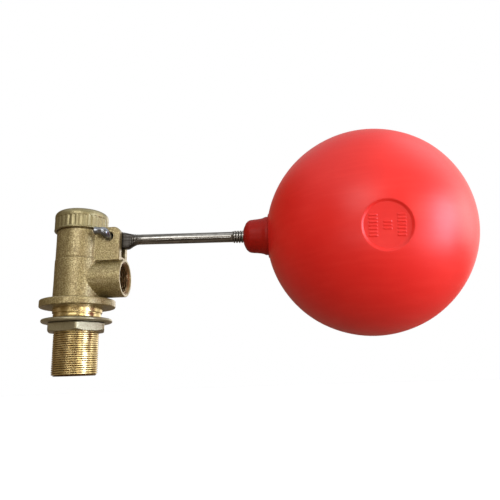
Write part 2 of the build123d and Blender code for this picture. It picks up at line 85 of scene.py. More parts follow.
# ---- pivot, lever and pin ----
PIVOT = Vector((38.0, 0.0, 77.3))
DROOP = radians(1.5)
ALONG = Vector((cos(DROOP), 0.0, -sin(DROOP)))
UP = Vector((sin(DROOP), 0.0, cos(DROOP)))
NEAR = Vector((0.0, -1.0, 0.0))
NOSE_ARM = 30.0
NOSE_R = 5.0
BLADE_HALF_T = 4.8
ROD_R = 5.9
ROD_THREAD_R = 6.9
ROD_PITCH = 3.0
ROD_THREAD_DEPTH = 1.45
ROD_THREAD_START = 137.0
ROD_END = 167.0
PIN_R = 3.85
PIN_EYE_R = 3.7
PIN_BACK_Y = 15.1
PIN_EYE_Y = 22.3
PIN_GAP = 0.15  # between the two legs
PIN_SPLIT = Vector((0.3, 0.0, 0.95)).normalized()  # from one leg to the other
PIN_TURN = Vector((PIVOT.x, -18.6, PIVOT.z))
PIN_KNUCKLE = Vector((35.5, -22.8, 82.4))
PIN_TIP = Vector((23.6, -23.0, 83.2))
PIN_BEND = 4.2
PIN_TIP_LENGTH = 2.2
PIN_SWELLS = (((36.0, -22.0, 81.4), 0.26, 4.5), ((25.4, -23.0, 83.2), 0.16, 3.2))  # place, growth, reach

# ---- float ----
FLOAT_R = 112.4
FLOAT_U = 289.6
NECK_U = 151.5
NECK_STEP_R = 24.6
DISC_R = 23.4
DISC_FLOOR_R = 21.2
DISC_FLOOR = 108.0
DISC_TURN = radians(102.0)
TALLY_ROWS = ((-12.6, 7), (0.2, 3), (12.6, 7))  # place of each row of bars, and how many
TALLY_STEP = 3.1
TALLY_HALF_LENGTH = 3.6
TALLY_HALF_WIDTH = 0.72
TALLY_HEIGHT = 0.55

# ---- cap, washer and nut ----
CAP_R = 29.9
CAP_LOW_Z = 87.5
CAP_TOP_Z = 111.3
CAP_BORE_R = 26.75
CAP_CEILING_Z = 105.6
CAP_SHOULDER_R = 7.0
CAP_SHOULDER_H = 6.6
CAP_SHOULDER_RISE = 6.2
RIB_TOP_Z = 101.8
RIB_COUNT = 32
WASHER_R = 38.0
WASHER_TOP_Z = -12.4
WASHER_T = 4.2
NUT_BORE_R = 24.2
NUT_HALF_FLATS = 29.25
NUT_TOP_Z = -17.0
NUT_H = 9.6
NUT_CORNER = radians(-68.0)
HEXAGON_MARK = 100.0  # stands for "on the hexagon" in the nut's outline


# ---- small helpers ----
def smooth_step(low, high, value):
    """0 below low, 1 above high and a soft ramp between them."""
    t = min(1.0, max(0.0, (value - low) / (high - low)))
    return t * t * (3 - 2 * t)


def through(stations, place):
    """Smooth curve through (place, value) stations, read at one place."""
    last = len(stations) - 1
    if place <= stations[0][0]:
        return stations[0][1]
    if place >= stations[last][0]:
        return stations[last][1]
    i = max(k for k in range(last) if stations[k][0] <= place)
    (x0, y0), (x1, y1) = stations[i], stations[i + 1]
    before = stations[max(i - 1, 0)]
    after = stations[min(i + 2, last)]
    width = x1 - x0
    slope0 = (y1 - before[1]) / (x1 - before[0]) * width
    slope1 = (after[1] - y0) / (after[0] - x0) * width
    t = (place - x0) / width
    return (
        y0 * (2 * t**3 - 3 * t**2 + 1)
        + slope0 * (t**3 - 2 * t**2 + t)
        + y1 * (3 * t**2 - 2 * t**3)
        + slope1 * (t**3 - t**2)
    )


def thread_depth(turns, root_flat=0.06, crest_flat=0.6):
    """0 at a thread's worn crest and 1 at its root, for a place counted in turns."""
    t = abs((turns % 1.0) - 0.5) * 2
    return min(1.0, max(0.0, (t - crest_flat) / (1 - root_flat - crest_flat)))


def new_piece(name, verts, faces, made, body, replaced, sharp=38.0):
    """One mesh piece in metres that rides on a body; coincident points are joined first."""
    mesh = bpy.data.meshes.new(name)
    mesh.from_pydata([Vector(v) * MM for v in verts], [], faces)
    edit = bmesh.new()
    edit.from_mesh(mesh)
    bmesh.ops.remove_doubles(edit, verts=edit.verts, dist=2e-7)
    bmesh.ops.dissolve_degenerate(edit, edges=edit.edges, dist=1e-8)
    bmesh.ops.recalc_face_normals(edit, faces=edit.faces)
    edit.to_mesh(mesh)
    edit.free()
    piece = bpy.data.objects.new(name, mesh)
    bpy.context.scene.collection.objects.link(piece)
    dress(piece, made, sharp)
    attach(piece, body)
    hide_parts(*replaced)
    return piece


def dress(piece, made, sharp):
    """Give a piece its material and smooth shading with sharp edges kept."""
    piece.data.materials.clear()
    piece.data.materials.append(made)
    piece.data.shade_smooth()
    piece.data.set_sharp_from_angle(angle=radians(sharp))


def grid_faces(rows, columns, closed_rows=False):
    """Quads of a grid whose columns close into a ring."""
    faces = []
    for i in range(rows if closed_rows else rows - 1):
        below = (i % rows) * columns
        above = ((i + 1) % rows) * columns
        for j in range(columns):
            k = (j + 1) % columns
            faces.append((below + j, below + k, above + k, above + j))
    return faces


def spin(name, loop, count, made, body, replaced, change, origin=(0, 0, 0), axis="Z", **more):
    """Ring solid: a closed loop of (radius, height) turned about an axis, each point moved by change."""
    across, aside, along = {
        "Z": (Vector((1, 0, 0)), Vector((0, 1, 0)), Vector((0, 0, 1))),
        "X": (Vector((0, 1, 0)), Vector((0, 0, 1)), Vector((1, 0, 0))),
        "lever": (UP, NEAR, ALONG),
    }[axis]
    verts = []
    for radius, height in loop:
        for j in range(count):
            angle = tau * j / count
            r, h = change(radius, height, angle)
            side = across * cos(angle) + aside * sin(angle)
            verts.append(Vector(origin) + side * r + along * h)
    return new_piece(name, verts, grid_faces(len(loop), count, True), made, body, replaced, **more)


def steps(start, end, spacing):
    """Evenly spaced values from start to end."""
    count = max(1, ceil(abs(end - start) / spacing))
    return [start + (end - start) * i / count for i in range(count + 1)]


def rounded(corners, radius, pieces):
    """Closed outline with each corner rounded, as points."""
    points = []
    for i, corner in enumerate(corners):
        corner = Vector(corner)
        before = Vector(corners[i - 1]) - corner
        after = Vector(corners[(i + 1) % len(corners)]) - corner
        reach = min(radius, before.length * 0.45, after.length * 0.45)
        start = corner + before.normalized() * reach
        end = corner + after.normalized() * reach
        for k in range(pieces + 1):
            t = k / pieces
            points.append(start * (1 - t) ** 2 + corner * 2 * t * (1 - t) + end * t**2)
    return points


def cast_grain(point, fine, broad):
    """Height of a cast skin at a point: fine sand texture over slow waves."""
    waves = noise.noise(point * 0.11) * broad
    sand = noise.noise(point * 0.75 + Vector((7, 3, 1))) + 0.5 * noise.noise(point * 1.6)
    return waves + sand * fine


# ---- materials ----
class Shader:
    """The node tree of a material or world, with short calls that add and link nodes."""

    def __init__(self, owner):
        owner.use_nodes = True
        self.owner = owner
        self.tree = owner.node_tree
        self.tree.nodes.clear()

    def add(self, kind, inputs=None, **settings):
        node = self.tree.nodes.new(kind)
        for name, value in settings.items():
            setattr(node, name, value)
        for name, value in (inputs or {}).items():
            self.put(node.inputs[name], value)
        return node

    def put(self, socket, value):
        if isinstance(value, bpy.types.NodeSocket):
            self.tree.links.new(value, socket)
        else:
            socket.default_value = value

    def place(self):
        return self.add("ShaderNodeTexCoord").outputs["Object"]

    def math(self, operation, a, b, c=0.0):
        return self.add("ShaderNodeMath", {0: a, 1: b, 2: c}, operation=operation).outputs[0]

    def scaled(self, vector, x, y, z):
        node = self.add("ShaderNodeMapping", {"Vector": vector, "Scale": (x, y, z)})
        return node.outputs["Vector"]

    def noise(self, vector, scale, detail, rough):
        inputs = {"Vector": vector, "Scale": scale, "Detail": detail, "Roughness": rough}
        return self.add("ShaderNodeTexNoise", inputs).outputs["Fac"]

    def ramp(self, value, *stops):
        node = self.add("ShaderNodeValToRGB", {"Fac": value})
        elements = node.color_ramp.elements
        while len(elements) < len(stops):
            elements.new(1.0)
        for element, (spot, colour) in zip(elements, stops):
            element.position = spot
            element.color = (*colour, 1.0)
        return node.outputs["Color"]

    def spread(self, value, low, high, to_low=0.0, to_high=1.0):
        node = self.add("ShaderNodeMapRange", {0: value, 1: low, 2: high, 3: to_low, 4: to_high})
        return node.outputs[0]

    def mix(self, factor, a, b):
        node = self.add("ShaderNodeMix", data_type="RGBA")
        self.put(node.inputs[0], factor)
        for socket, value in ((node.inputs[6], a), (node.inputs[7], b)):
            self.put(socket, value if isinstance(value, bpy.types.NodeSocket) else (*value, 1.0))
        return node.outputs[2]

    def bump(self, height, strength, depth):
        inputs = {"Height": height, "Strength": strength, "Distance": depth}
        return self.add("ShaderNodeBump", inputs).outputs["Normal"]

    def finish(self, colour, rough, normal=None, **sockets):
        shader = self.add("ShaderNodeBsdfPrincipled", {"Base Color": colour, "Roughness": rough})
        for name, value in sockets.items():
            self.put(shader.inputs[name.replace("_", " ")], value)
        if normal is not None:
            self.put(shader.inputs["Normal"], normal)
        out = self.add("ShaderNodeOutputMaterial")
        self.put(out.inputs["Surface"], shader.outputs["BSDF"])
        return self.owner


# a thin clear film that keeps the highlights of the duller brass pale
CAST_COAT = {"Coat_Weight": 0.35, "Coat_Roughness": 0.3, "Coat_IOR": 1.6}


def make_cast_brass():
    """Sand-cast yellow brass, tumbled: khaki gold with bright pin-point grain and duller patches."""
    s = Shader(bpy.data.materials.new("cast_brass"))
    p = s.place()
    grain = s.noise(p, 700, 3.0, 0.75)
    fine = s.noise(p, 2600, 2.0, 0.5)
    patches = s.noise(p, 55, 4.0, 0.6)
    base = s.ramp(
        grain,
        (0.36, (0.13, 0.092, 0.03)),
        (0.50, (0.29, 0.225, 0.085)),
        (0.64, (0.56, 0.48, 0.25)),
    )
    dull = s.mix(s.spread(patches, 0.35, 0.7, 0.0, 0.55), base, (0.22, 0.155, 0.06))
    rough = s.spread(grain, 0.35, 0.7, 0.50, 0.30)
    height = s.math("ADD", grain, s.math("MULTIPLY", fine, 0.4))
    normal = s.bump(height, 0.5, 0.0003)
    return s.finish(dull, rough, normal, Metallic=0.7, Specular_IOR_Level=0.8, **CAST_COAT)


def make_machined_brass(name, low, high, rough_low, rough_high, ring_axis, grooves=None):
    """Turned brass: warm gold with fine tool rings about one axis, and darker towards a thread's roots."""
    s = Shader(bpy.data.materials.new(name))
    p = s.place()
    stretch = {"Z": (5, 5, 2600), "X": (2600, 5, 5)}[ring_axis]
    rings = s.noise(s.scaled(p, *stretch), 1.0, 2.0, 0.6)
    stain = s.noise(p, 90, 2.0, 0.5)
    colour = s.ramp(stain, (0.32, low), (0.68, high))
    colour = s.mix(s.spread(rings, 0.3, 0.7, 0.0, 0.35), colour, low)
    if grooves:
        origin, plain_r, dark_r = grooves
        mask = (1, 1, 0) if ring_axis == "Z" else (0, 1, 1)
        offset = s.add("ShaderNodeVectorMath", {0: p, 1: origin}, operation="SUBTRACT")
        across = s.add("ShaderNodeVectorMath", {0: offset.outputs[0], 1: mask}, operation="MULTIPLY")
        radius = s.add("ShaderNodeVectorMath", {0: across.outputs[0]}, operation="LENGTH").outputs["Value"]
        # darker towards the thread's roots: full colour at the first radius from the axis, darkest at the
        # second
        colour = s.mix(s.spread(radius, plain_r * MM, dark_r * MM), colour, (0.22, 0.12, 0.045))
    rough = s.spread(stain, 0.3, 0.7, rough_high, rough_low)
    return s.finish(colour, rough, s.bump(rings, 0.04, 0.0001), Metallic=0.95)


def make_forged_brass(name, low, high, rough_low, rough_high, scale):
    """Pressed brass, shot blasted: even khaki with a soft grain."""
    s = Shader(bpy.data.materials.new(name))
    p = s.place()
    grain = s.noise(p, scale, 3.0, 0.6)
    patches = s.noise(p, 70, 3.0, 0.5)
    colour = s.ramp(grain, (0.3, low), (0.72, high))
    colour = s.mix(s.spread(patches, 0.35, 0.75, 0.0, 0.5), colour, low)
    rough = s.spread(grain, 0.3, 0.7, rough_high, rough_low)
    normal = s.bump(grain, 0.3, 0.0002)
    return s.finish(colour, rough, normal, Metallic=0.75, Specular_IOR_Level=0.8, **CAST_COAT)


def make_steel(name, low, high, rough_low, rough_high, stretch, forged_to=None):
    """Plated steel: grey with drawn streaks along the rod, faint stains and a dull forged stretch."""
    s = Shader(bpy.data.materials.new(name))
    p = s.place()
    streaks = s.noise(s.scaled(p, *stretch), 1.0, 3.0, 0.6)
    stains = s.noise(p, 160, 4.0, 0.65)
    colour = s.ramp(streaks, (0.36, low), (0.62, high))
    colour = s.mix(s.spread(stains, 0.45, 0.8, 0.0, 0.6), colour, low)
    rough = s.spread(streaks, 0.3, 0.7, rough_high, rough_low)
    if forged_to:
        along = s.add("ShaderNodeSeparateXYZ", {0: p}).outputs["X"]
        scale = s.spread(along, (forged_to + 4) * MM, (forged_to - 4) * MM)
        colour = s.mix(s.math("MULTIPLY", scale, 0.85), colour, (0.035, 0.031, 0.027))
        rough = s.math("MULTIPLY_ADD", scale, 0.16, rough)
    return s.finish(colour, rough, s.bump(streaks, 0.15, 0.0001), Metallic=0.95)


def make_red_plastic(name, deep, bright, streak, gloss):
    """Moulded polythene: satin red with faint flow streaks and a pebbly skin."""
    s = Shader(bpy.data.materials.new(name))
    p = s.place()
    cloud = s.noise(p, 14, 3.0, 0.5)
    flow = s.noise(s.scaled(p, 30, 30, 240), 1.0, 2.0, 0.5)
    pebble = s.noise(p, 900, 2.0, 0.5)
    colour = s.mix(s.spread(cloud, 0.3, 0.7), deep, bright)
    colour = s.mix(s.spread(flow, 0.45, 0.75, 0.0, 0.35), colour, streak)
    rough = s.spread(pebble, 0.3, 0.7, 0.34, 0.44)
    height = s.math("ADD", pebble, s.math("MULTIPLY", flow, 0.5))
    return s.finish(colour, rough, s.bump(height, 0.07, 0.0003), Specular_IOR_Level=gloss)


def make_soft(name, low, high, rough, scale):
    """Rubber or fibre: matt with a fine mottle."""
    s = Shader(bpy.data.materials.new(name))
    p = s.place()
    mottle = s.noise(p, scale, 3.0, 0.6)
    colour = s.ramp(mottle, (0.3, low), (0.7, high))
    spread = s.spread(mottle, 0.3, 0.7, rough - 0.06, rough + 0.06)
    return s.finish(colour, spread, s.bump(mottle, 0.25, 0.0002))


CAST = make_cast_brass()
GOLD = ((0.47, 0.345, 0.135), (0.78, 0.64, 0.34))
TURNED = make_machined_brass("turned_brass", *GOLD, 0.2, 0.32, "Z")
SHANK_BRASS = make_machined_brass("shank_brass", *GOLD, 0.2, 0.32, "Z", ((0, 0, 0), 22.9, 22.5))
OUTLET_GROOVES = ((0, 0, OUTLET_Z * MM), 15.4, 16.5)
OUTLET_BRASS = make_machined_brass(
    "outlet_brass", (0.34, 0.22, 0.10), (0.62, 0.49, 0.28), 0.22, 0.38, "X", OUTLET_GROOVES
)
CAP_BRASS = make_forged_brass("cap_brass", (0.20, 0.165, 0.065), (0.34, 0.29, 0.145), 0.30, 0.44, 500)
NUT_BRASS = make_forged_brass("nut_brass", (0.22, 0.19, 0.105), (0.42, 0.375, 0.235), 0.28, 0.42, 600)
ROD_STEEL = make_steel(
    "lever_steel", (0.06, 0.052, 0.043), (0.38, 0.37, 0.345), 0.10, 0.22, (5, 620, 620), forged_to=66
)
PIN_STEEL = make_steel("pin_steel", (0.13, 0.135, 0.145), (0.36, 0.38, 0.41), 0.10, 0.2, (110, 110, 110))
STAINLESS = make_steel("stainless", (0.35, 0.35, 0.35), (0.62, 0.62, 0.61), 0.2, 0.35, (400, 400, 400))
RED = make_red_plastic(
    "float_plastic", (0.72, 0.012, 0.008), (0.79, 0.019, 0.013), (0.82, 0.030, 0.021), gloss=0.38
)
# darker, less glossy copy of the float's red: painted shade for the shadow the ball throws on its neck
NECK_RED_PAINTED_SHADE = make_red_plastic(
    "neck_plastic_painted_shade", (0.30, 0.007, 0.003), (0.35, 0.010, 0.005), (0.41, 0.014, 0.008), gloss=0.12
)
RUBBER = make_soft("nitrile", (0.012, 0.012, 0.012), (0.03, 0.03, 0.031), 0.55, 700)
FIBRE = make_soft("fibre", (0.22, 0.06, 0.03), (0.36, 0.13, 0.08), 0.8, 500)


# ---- body: sand casting, turned shank, outlet thread and top thread ----
def make_casting():
    """The casting: the CAD shape without its threads, remeshed so that edges are soft, with a sand skin."""
    mesh = NODES["valve_body"].data.copy()
    edit = bmesh.new()
    edit.from_mesh(mesh)
    bmesh.ops.remove_doubles(edit, verts=edit.verts, dist=1e-7)
    whole = edit.verts[:] + edit.edges[:] + edit.faces[:]
    cut = bmesh.ops.bisect_plane(
        edit, geom=whole, plane_co=(0, 0, 0.02 * MM), plane_no=(0, 0, -1), clear_outer=True
    )
    edges = [e for e in cut["geom_cut"] if isinstance(e, bmesh.types.BMEdge)]
    bmesh.ops.triangle_fill(edit, edges=edges, use_beauty=True)
    bmesh.ops.recalc_face_normals(edit, faces=edit.faces)
    for vert in edit.verts:
        x, y, z = (value / MM for value in vert.co)
        out = hypot(y, z - OUTLET_Z)
        if x > OUTLET_STEP_X + 0.1 and 14.5 < out < OUTLET_CLEAR_R:
            grow = OUTLET_CLEAR_R / out
            vert.co.y, vert.co.z = y * grow * MM, (OUTLET_Z + (z - OUTLET_Z) * grow) * MM
        middle = hypot(x, y)
        if z > SHOULDER_Z + 0.2 and 24.5 < middle < 27.0:
            vert.co.x, vert.co.y = x * TOP_CLEAR_R / middle * MM, y * TOP_CLEAR_R / middle * MM
    edit.to_mesh(mesh)
    edit.free()
    piece = bpy.data.objects.new("body_casting", mesh)
    bpy.context.scene.collection.objects.link(piece)
    remesh = piece.modifiers.new("remesh", "REMESH")
    remesh.mode = "VOXEL"
    remesh.voxel_size = CAST_VOXEL * MM
    soften = piece.modifiers.new("soften", "SMOOTH")
    soften.factor = 0.5
    soften.iterations = 3
    shaped = bpy.data.meshes.new_from_object(piece.evaluated_get(bpy.context.evaluated_depsgraph_get()))
    piece.modifiers.clear()
    piece.data = shaped
    normals = [v.normal.copy() for v in shaped.vertices]
    for vert, normal in zip(shaped.vertices, normals):
        point = vert.co / MM
        machined = smooth_step(OUTLET_FACE_X - 0.7, OUTLET_FACE_X - 0.2, point.x)
        machined = max(machined, smooth_step(0.8, 0.2, point.z))
        lift = cast_grain(point, 0.05, 0.12) * (1 - machined)
        if BODY_R - 1.2 < hypot(point.x, point.y) < BODY_R + 1.2:
            lift -= 0.75 * exp(-(((point.z - PARTING_Z + 0.2) / 0.55) ** 2))
        vert.co += normal * (lift - 0.02) * MM
    dress(piece, CAST, 50)
    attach(piece, "body")
    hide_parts("valve_body")


def make_shank():
    """Collar and tank thread, turned on the casting: a true helix that fades out under the collar."""
    outline = [(SHANK_BORE_R, SHANK_END + 1.0), (SHANK_BORE_R + 1.0, SHANK_END)]
    outline += [(r, SHANK_END) for r in steps(SHANK_BORE_R + 1.6, SHANK_R - 2.2, 1.4)]
    outline += [(SHANK_R, z) for z in steps(SHANK_END + 0.15, COLLAR_END - 0.05, 0.19)]
    corners = [
        (COLLAR_LOW_R - 0.6, COLLAR_END),
        (COLLAR_LOW_R, COLLAR_END + 0.6),
        (COLLAR_LOW_R, GROOVE_LOW_Z - 0.35),
        (COLLAR_LOW_R - GROOVE_DEPTH, GROOVE_LOW_Z),
        (COLLAR_LOW_R - GROOVE_DEPTH, GROOVE_TOP_Z),
        (COLLAR_R, GROOVE_TOP_Z + 0.4),
        (COLLAR_R, 3.0),
        (SHANK_BORE_R, 3.0),
    ]
    outline += [tuple(point) for point in rounded(corners, 0.25, 2)[3:-3]]

    def cut_thread(radius, height, angle):
        if radius != SHANK_R:
            return radius, height
        turns = height / PIPE_PITCH - angle / tau
        fade = smooth_step(COLLAR_END - 0.6, COLLAR_END - 3.4, height)
        wear = 0.025 * noise.noise(Vector((3 * cos(angle), 3 * sin(angle), height * 0.8)))
        crest = SHANK_R - SHANK_CHAMFER * smooth_step(SHANK_END + 2.3, SHANK_END - 0.1, height)
        crest -= THREAD_RELIEF * smooth_step(FULL_THREAD_TOP, FULL_THREAD_TOP + 1.0, height)
        root = SHANK_R - PIPE_DEPTH * fade
        return min(crest, crest + (root - SHANK_R) * thread_depth(turns)) + wear * fade, height

    piece = spin("shank", outline, 180, SHANK_BRASS, "body", ("valve_body",), change=cut_thread, sharp=60)


def make_outlet_thread():
    """Inside thread of the side outlet, a liner set into the casting."""
    mouth = OUTLET_FACE_X - 1.05
    start = OUTLET_STEP_X + 0.05
    outline = [(OUTLET_R, x) for x in steps(start + 0.4, OUTLET_FACE_X - 2.4, 0.19)]
    outline += [(17.33, mouth), (OUTLET_LINER_R, mouth)]
    outline += [(OUTLET_LINER_R, start), (15.2, start)]

    def cut_thread(radius, height, angle):
        if radius != OUTLET_R:
            return radius, height
        turns = height / PIPE_PITCH + angle / tau
        fade = smooth_step(start + 0.4, start + 2.2, height)
        crest = OUTLET_R - PIPE_DEPTH
        chamfer = crest + max(0.0, height - (OUTLET_FACE_X - 3.2))
        return max(chamfer, crest + PIPE_DEPTH * thread_depth(turns) * fade), height

    piece = spin(
        "outlet_thread",
        outline,
        150,
        OUTLET_BRASS,
        "body",
        ("valve_body",),
        origin=(0, 0, OUTLET_Z),
        axis="X",
        change=cut_thread,
        sharp=60,
    )


def make_top_thread():
    """Outside thread under the cap."""
    outline = [(NECK_R, z) for z in steps(SHOULDER_Z, RIM_Z - 0.3, 0.18)]
    rim_r = CHAMBER_R - 0.02
    outline += [(NECK_R - 1.0, RIM_Z + 0.02), (rim_r, RIM_Z + 0.02), (rim_r, RIM_Z - 2.0)]
    outline += [(TOP_LINER_R, RIM_Z - 2.5), (TOP_LINER_R, SHOULDER_Z)]

    def cut_thread(radius, height, angle):
        if radius != NECK_R:
            return radius, height
        turns = height / CAP_PITCH - angle / tau
        fade = smooth_step(SHOULDER_Z + 0.6, SHOULDER_Z + 2.6, height)
        crest = NECK_R - 0.9 * smooth_step(RIM_Z - 1.2, RIM_Z, height)
        return crest - CAP_THREAD_DEPTH * thread_depth(turns) * fade, height

    piece = spin("top_thread", outline, 150, TURNED, "body", ("valve_body",), change=cut_thread, sharp=60)


# ---- cap ----
def make_cap():
    """Pressed cap: a plain lip, a ring of grip ribs and a softly domed shoulder."""
    lip_z = CAP_LOW_Z + 2.2
    outline = [(CAP_BORE_R, CAP_LOW_Z + 0.5), (CAP_BORE_R + 0.5, CAP_LOW_Z)]
    outline += [(CAP_R - 0.9, CAP_LOW_Z), (CAP_R - 0.3, CAP_LOW_Z + 0.25), (CAP_R, CAP_LOW_Z + 0.9)]
    shoulder_r = CAP_R - CAP_SHOULDER_R
    shoulder_z = CAP_TOP_Z - CAP_SHOULDER_H
    outline += [(CAP_R, z) for z in steps(CAP_LOW_Z + 1.4, shoulder_z, 0.35)]
    for k in range(1, 15):
        turn = radians(80 * k / 14)
        outline.append((shoulder_r + CAP_SHOULDER_R * cos(turn), shoulder_z + CAP_SHOULDER_RISE * sin(turn)))
    outline += [(CAP_R - 8.2, CAP_TOP_Z - 0.05), (CAP_R - 9.0, CAP_TOP_Z)]
    outline += [(r, CAP_TOP_Z) for r in (18.0, 14.0, 10.0, 6.0, 2.5, 0.0)]
    outline += [(r, CAP_CEILING_Z) for r in (0.0, 8.0, 16.0, 22.0)]
    outline += [(CAP_BORE_R, CAP_CEILING_Z)]
    outline += [(CAP_BORE_R, z) for z in steps(CAP_CEILING_Z - 2.0, CAP_LOW_Z + 2.0, 2.0)]

    def press(radius, height, angle):
        if height < CAP_LOW_Z + 1.3 or radius < CAP_R - 6.0:
            return radius, height
        wave = (0.5 + 0.5 * cos(RIB_COUNT * angle - 0.9)) ** 0.7
        groove = 0.5 * (1 - wave)
        band = smooth_step(lip_z - 0.5, lip_z + 0.3, height)
        band *= smooth_step(RIB_TOP_Z + 1.0, RIB_TOP_Z - 0.4, height)
        dent = 0.12 * noise.noise(Vector((2.2 * cos(angle), 2.2 * sin(angle), height * 0.12)))
        return radius - (groove + 0.12) * band + dent - 0.1, height

    piece = spin("screw_cap", outline, 448, CAP_BRASS, "cap", ("cap",), change=press, sharp=48)


# ---- washer and nut ----
def make_washer():
    """Clamp washer: pressed ring with a bull-nosed edge, not quite flat."""
    low = WASHER_TOP_Z - WASHER_T
    middle = WASHER_TOP_Z - WASHER_T / 2
    outline = [(NUT_BORE_R, low + 0.5), (NUT_BORE_R, WASHER_TOP_Z - 0.5), (NUT_BORE_R + 0.5, WASHER_TOP_Z)]
    outline += [(r, WASHER_TOP_Z) for r in steps(NUT_BORE_R + 1.5, WASHER_R - 3.2, 1.2)]
    for k in range(17):
        turn = radians(90 - 180 * k / 16)
        outline.append((WASHER_R - 2.1 + 2.1 * cos(turn), middle + WASHER_T / 2 * sin(turn)))
    outline += [(r, low) for r in steps(WASHER_R - 3.2, NUT_BORE_R + 1.5, 1.2)]
    outline += [(NUT_BORE_R + 0.5, low)]

    def press(radius, height, angle):
        spot = Vector((radius * cos(angle), radius * sin(angle), height))
        skin = cast_grain(spot, 0.035, 0.1) * smooth_step(NUT_BORE_R + 0.6, NUT_BORE_R + 3, radius)
        return radius + skin - 0.1, height + skin * (1 if height > middle else -1) * 0.5

    piece = spin("washer_disc", outline, 220, NUT_BRASS, "washer", ("clamp_washer",), change=press, sharp=50)


def soft_least(a, b, blend):
    """The smaller of two values, with the change-over rounded."""
    near = max(0.0, blend - abs(a - b)) / blend
    return min(a, b) - near * near * blend / 4


def make_nut():
    """Hexagon nut with corners turned off at both ends and a helical thread inside."""
    low = NUT_TOP_Z - NUT_H
    face_r = NUT_HALF_FLATS - 0.4
    corner_r = NUT_HALF_FLATS / cos(pi / 6) + 0.1
    outline = [(r, low) for r in steps(NUT_BORE_R + 1.2, face_r - 0.6, 0.9)]
    outline += [(HEXAGON_MARK, z) for z in steps(low, NUT_TOP_Z, 0.25)]
    outline += [(r, NUT_TOP_Z) for r in steps(face_r - 0.6, NUT_BORE_R + 1.2, 0.9)]
    outline += [(NUT_BORE_R, z) for z in steps(NUT_TOP_Z - 0.6, low + 0.6, 0.19)]

    def shape(radius, height, angle):
        if radius == NUT_BORE_R:
            turns = height / PIPE_PITCH - angle / tau
            return NUT_BORE_R + 0.85 * thread_depth(turns + 0.5), height
        if radius != HEXAGON_MARK:
            return radius, height
        off_corner = (angle - NUT_CORNER) % (pi / 3) - pi / 6
        flat = NUT_HALF_FLATS / cos(off_corner)
        low_cut = face_r + (corner_r - face_r) * smooth_step(low - 1.0, low + 2.6, height)
        top_cut = face_r + (corner_r - face_r) * smooth_step(NUT_TOP_Z + 0.6, NUT_TOP_Z - 1.4, height)
        reach = soft_least(soft_least(flat, corner_r - 0.35, 1.0), min(low_cut, top_cut), 0.7)
        edge = 0.5 * (smooth_step(low + 0.5, low, height) + smooth_step(NUT_TOP_Z - 0.5, NUT_TOP_Z, height))
        spot = Vector((reach * cos(angle), reach * sin(angle), height))
        return reach - edge + cast_grain(spot, 0.03, 0.06), height

    piece = spin("hexagon_nut", outline, 300, NUT_BRASS, "nut", ("backnut",), change=shape, sharp=50)


# ---- lever ----
def lever_point(u, v, w):
    """Place of (along the lever, up, towards the near side) measured from the pivot."""
    return PIVOT + ALONG * u + UP * v + NEAR * w


def make_lever():
    """Forged lever: round nose, flat blade with an eye, tapering into a drawn rod with a threaded end."""
    # (place along the lever, distance from its axis) of the upper edge, the lower edge and the sides
    top = [(-26.8, 3.85), (-15, 4.4), (-6, 6.9), (4, 8.8), (13, 8.2), (19, 7.0)]
    top += [(24, 6.1), (29, ROD_R), (34, ROD_R)]
    low = [(-26.8, 3.85), (-15.5, 4.4), (-4, 9.4), (8, 10.7), (18.6, 10.7)]
    low += [(21, 9.6), (25, 7.4), (29, 6.1), (34, ROD_R)]
    half = [(-35, BLADE_HALF_T), (17, BLADE_HALF_T), (22, 4.9), (28, 5.7), (33, ROD_R), (40, ROD_R)]
    # how square the section is, from a flat blade to a round rod
    power = [(-35, 9.0), (16, 8.0), (21, 5.0), (26, 2.8), (30, 2.0), (34, 2.0)]
    columns = 96
    places = [-NOSE_ARM - NOSE_R * cos(radians(a)) for a in range(0, 50, 5)]
    places += steps(-NOSE_ARM - 3.2, 20, 0.55) + steps(20.3, 30, 0.28)
    places += steps(31, ROD_THREAD_START - 0.5, 1.0) + steps(ROD_THREAD_START, ROD_END, 0.2)
    verts = []
    for u in places:
        nose = sqrt(max(0.0, NOSE_R**2 - (u + NOSE_ARM) ** 2))
        neck = smooth_step(-NOSE_ARM + 2.2, -NOSE_ARM + 4.4, u)
        up = nose * (1 - neck) + through(top, u) * neck
        down = nose * (1 - neck) + through(low, u) * neck
        side = through(half, u)
        bend = 2 / through(power, u)
        marks = sum(0.26 * exp(-(((u - spot) / 0.45) ** 2)) for spot in (22.9, 25.1, 27.8))
        flat = smooth_step(34, 28, u)
        for j in range(columns):
            angle = tau * j / columns
            c, s = cos(angle), sin(angle)
            v = (up if s > 0 else down) * abs(s) ** bend * (1 if s > 0 else -1)
            w = side * abs(c) ** bend * (1 if c > 0 else -1)
            spot = Vector((u * 0.35, v * 0.8, w * 0.8))
            hammer = noise.noise(spot) * 0.07 * flat
            hammer += noise.noise(Vector((u * 0.03, 1.2 * c, 1.2 * s))) * 0.06
            scale = 1 + (hammer - marks * flat) / max(2.0, hypot(v, w))
            if u > ROD_THREAD_START - 1:
                turns = (u - ROD_THREAD_START) / ROD_PITCH - j / columns
                grow = smooth_step(ROD_THREAD_START, ROD_THREAD_START + 4, u)
                crest = ROD_R + (ROD_THREAD_R - ROD_R) * grow
                crest -= 1.5 * smooth_step(ROD_END - 1.6, ROD_END, u)
                cut = ROD_THREAD_DEPTH * smooth_step(ROD_THREAD_START + 0.2, ROD_THREAD_START + 3.5, u)
                scale = (crest - cut * thread_depth(turns)) / ROD_R
            verts.append(lever_point(u, v * scale, w * scale))
    faces = grid_faces(len(places), columns)
    last = (len(places) - 1) * columns
    verts.append(lever_point(ROD_END + 0.2, 0, 0))
    faces += [(last + j, last + (j + 1) % columns, len(verts) - 1) for j in range(columns)]
    piece = new_piece("lever_forging", verts, faces, ROD_STEEL, "lever", ("lever_arm",), sharp=50)


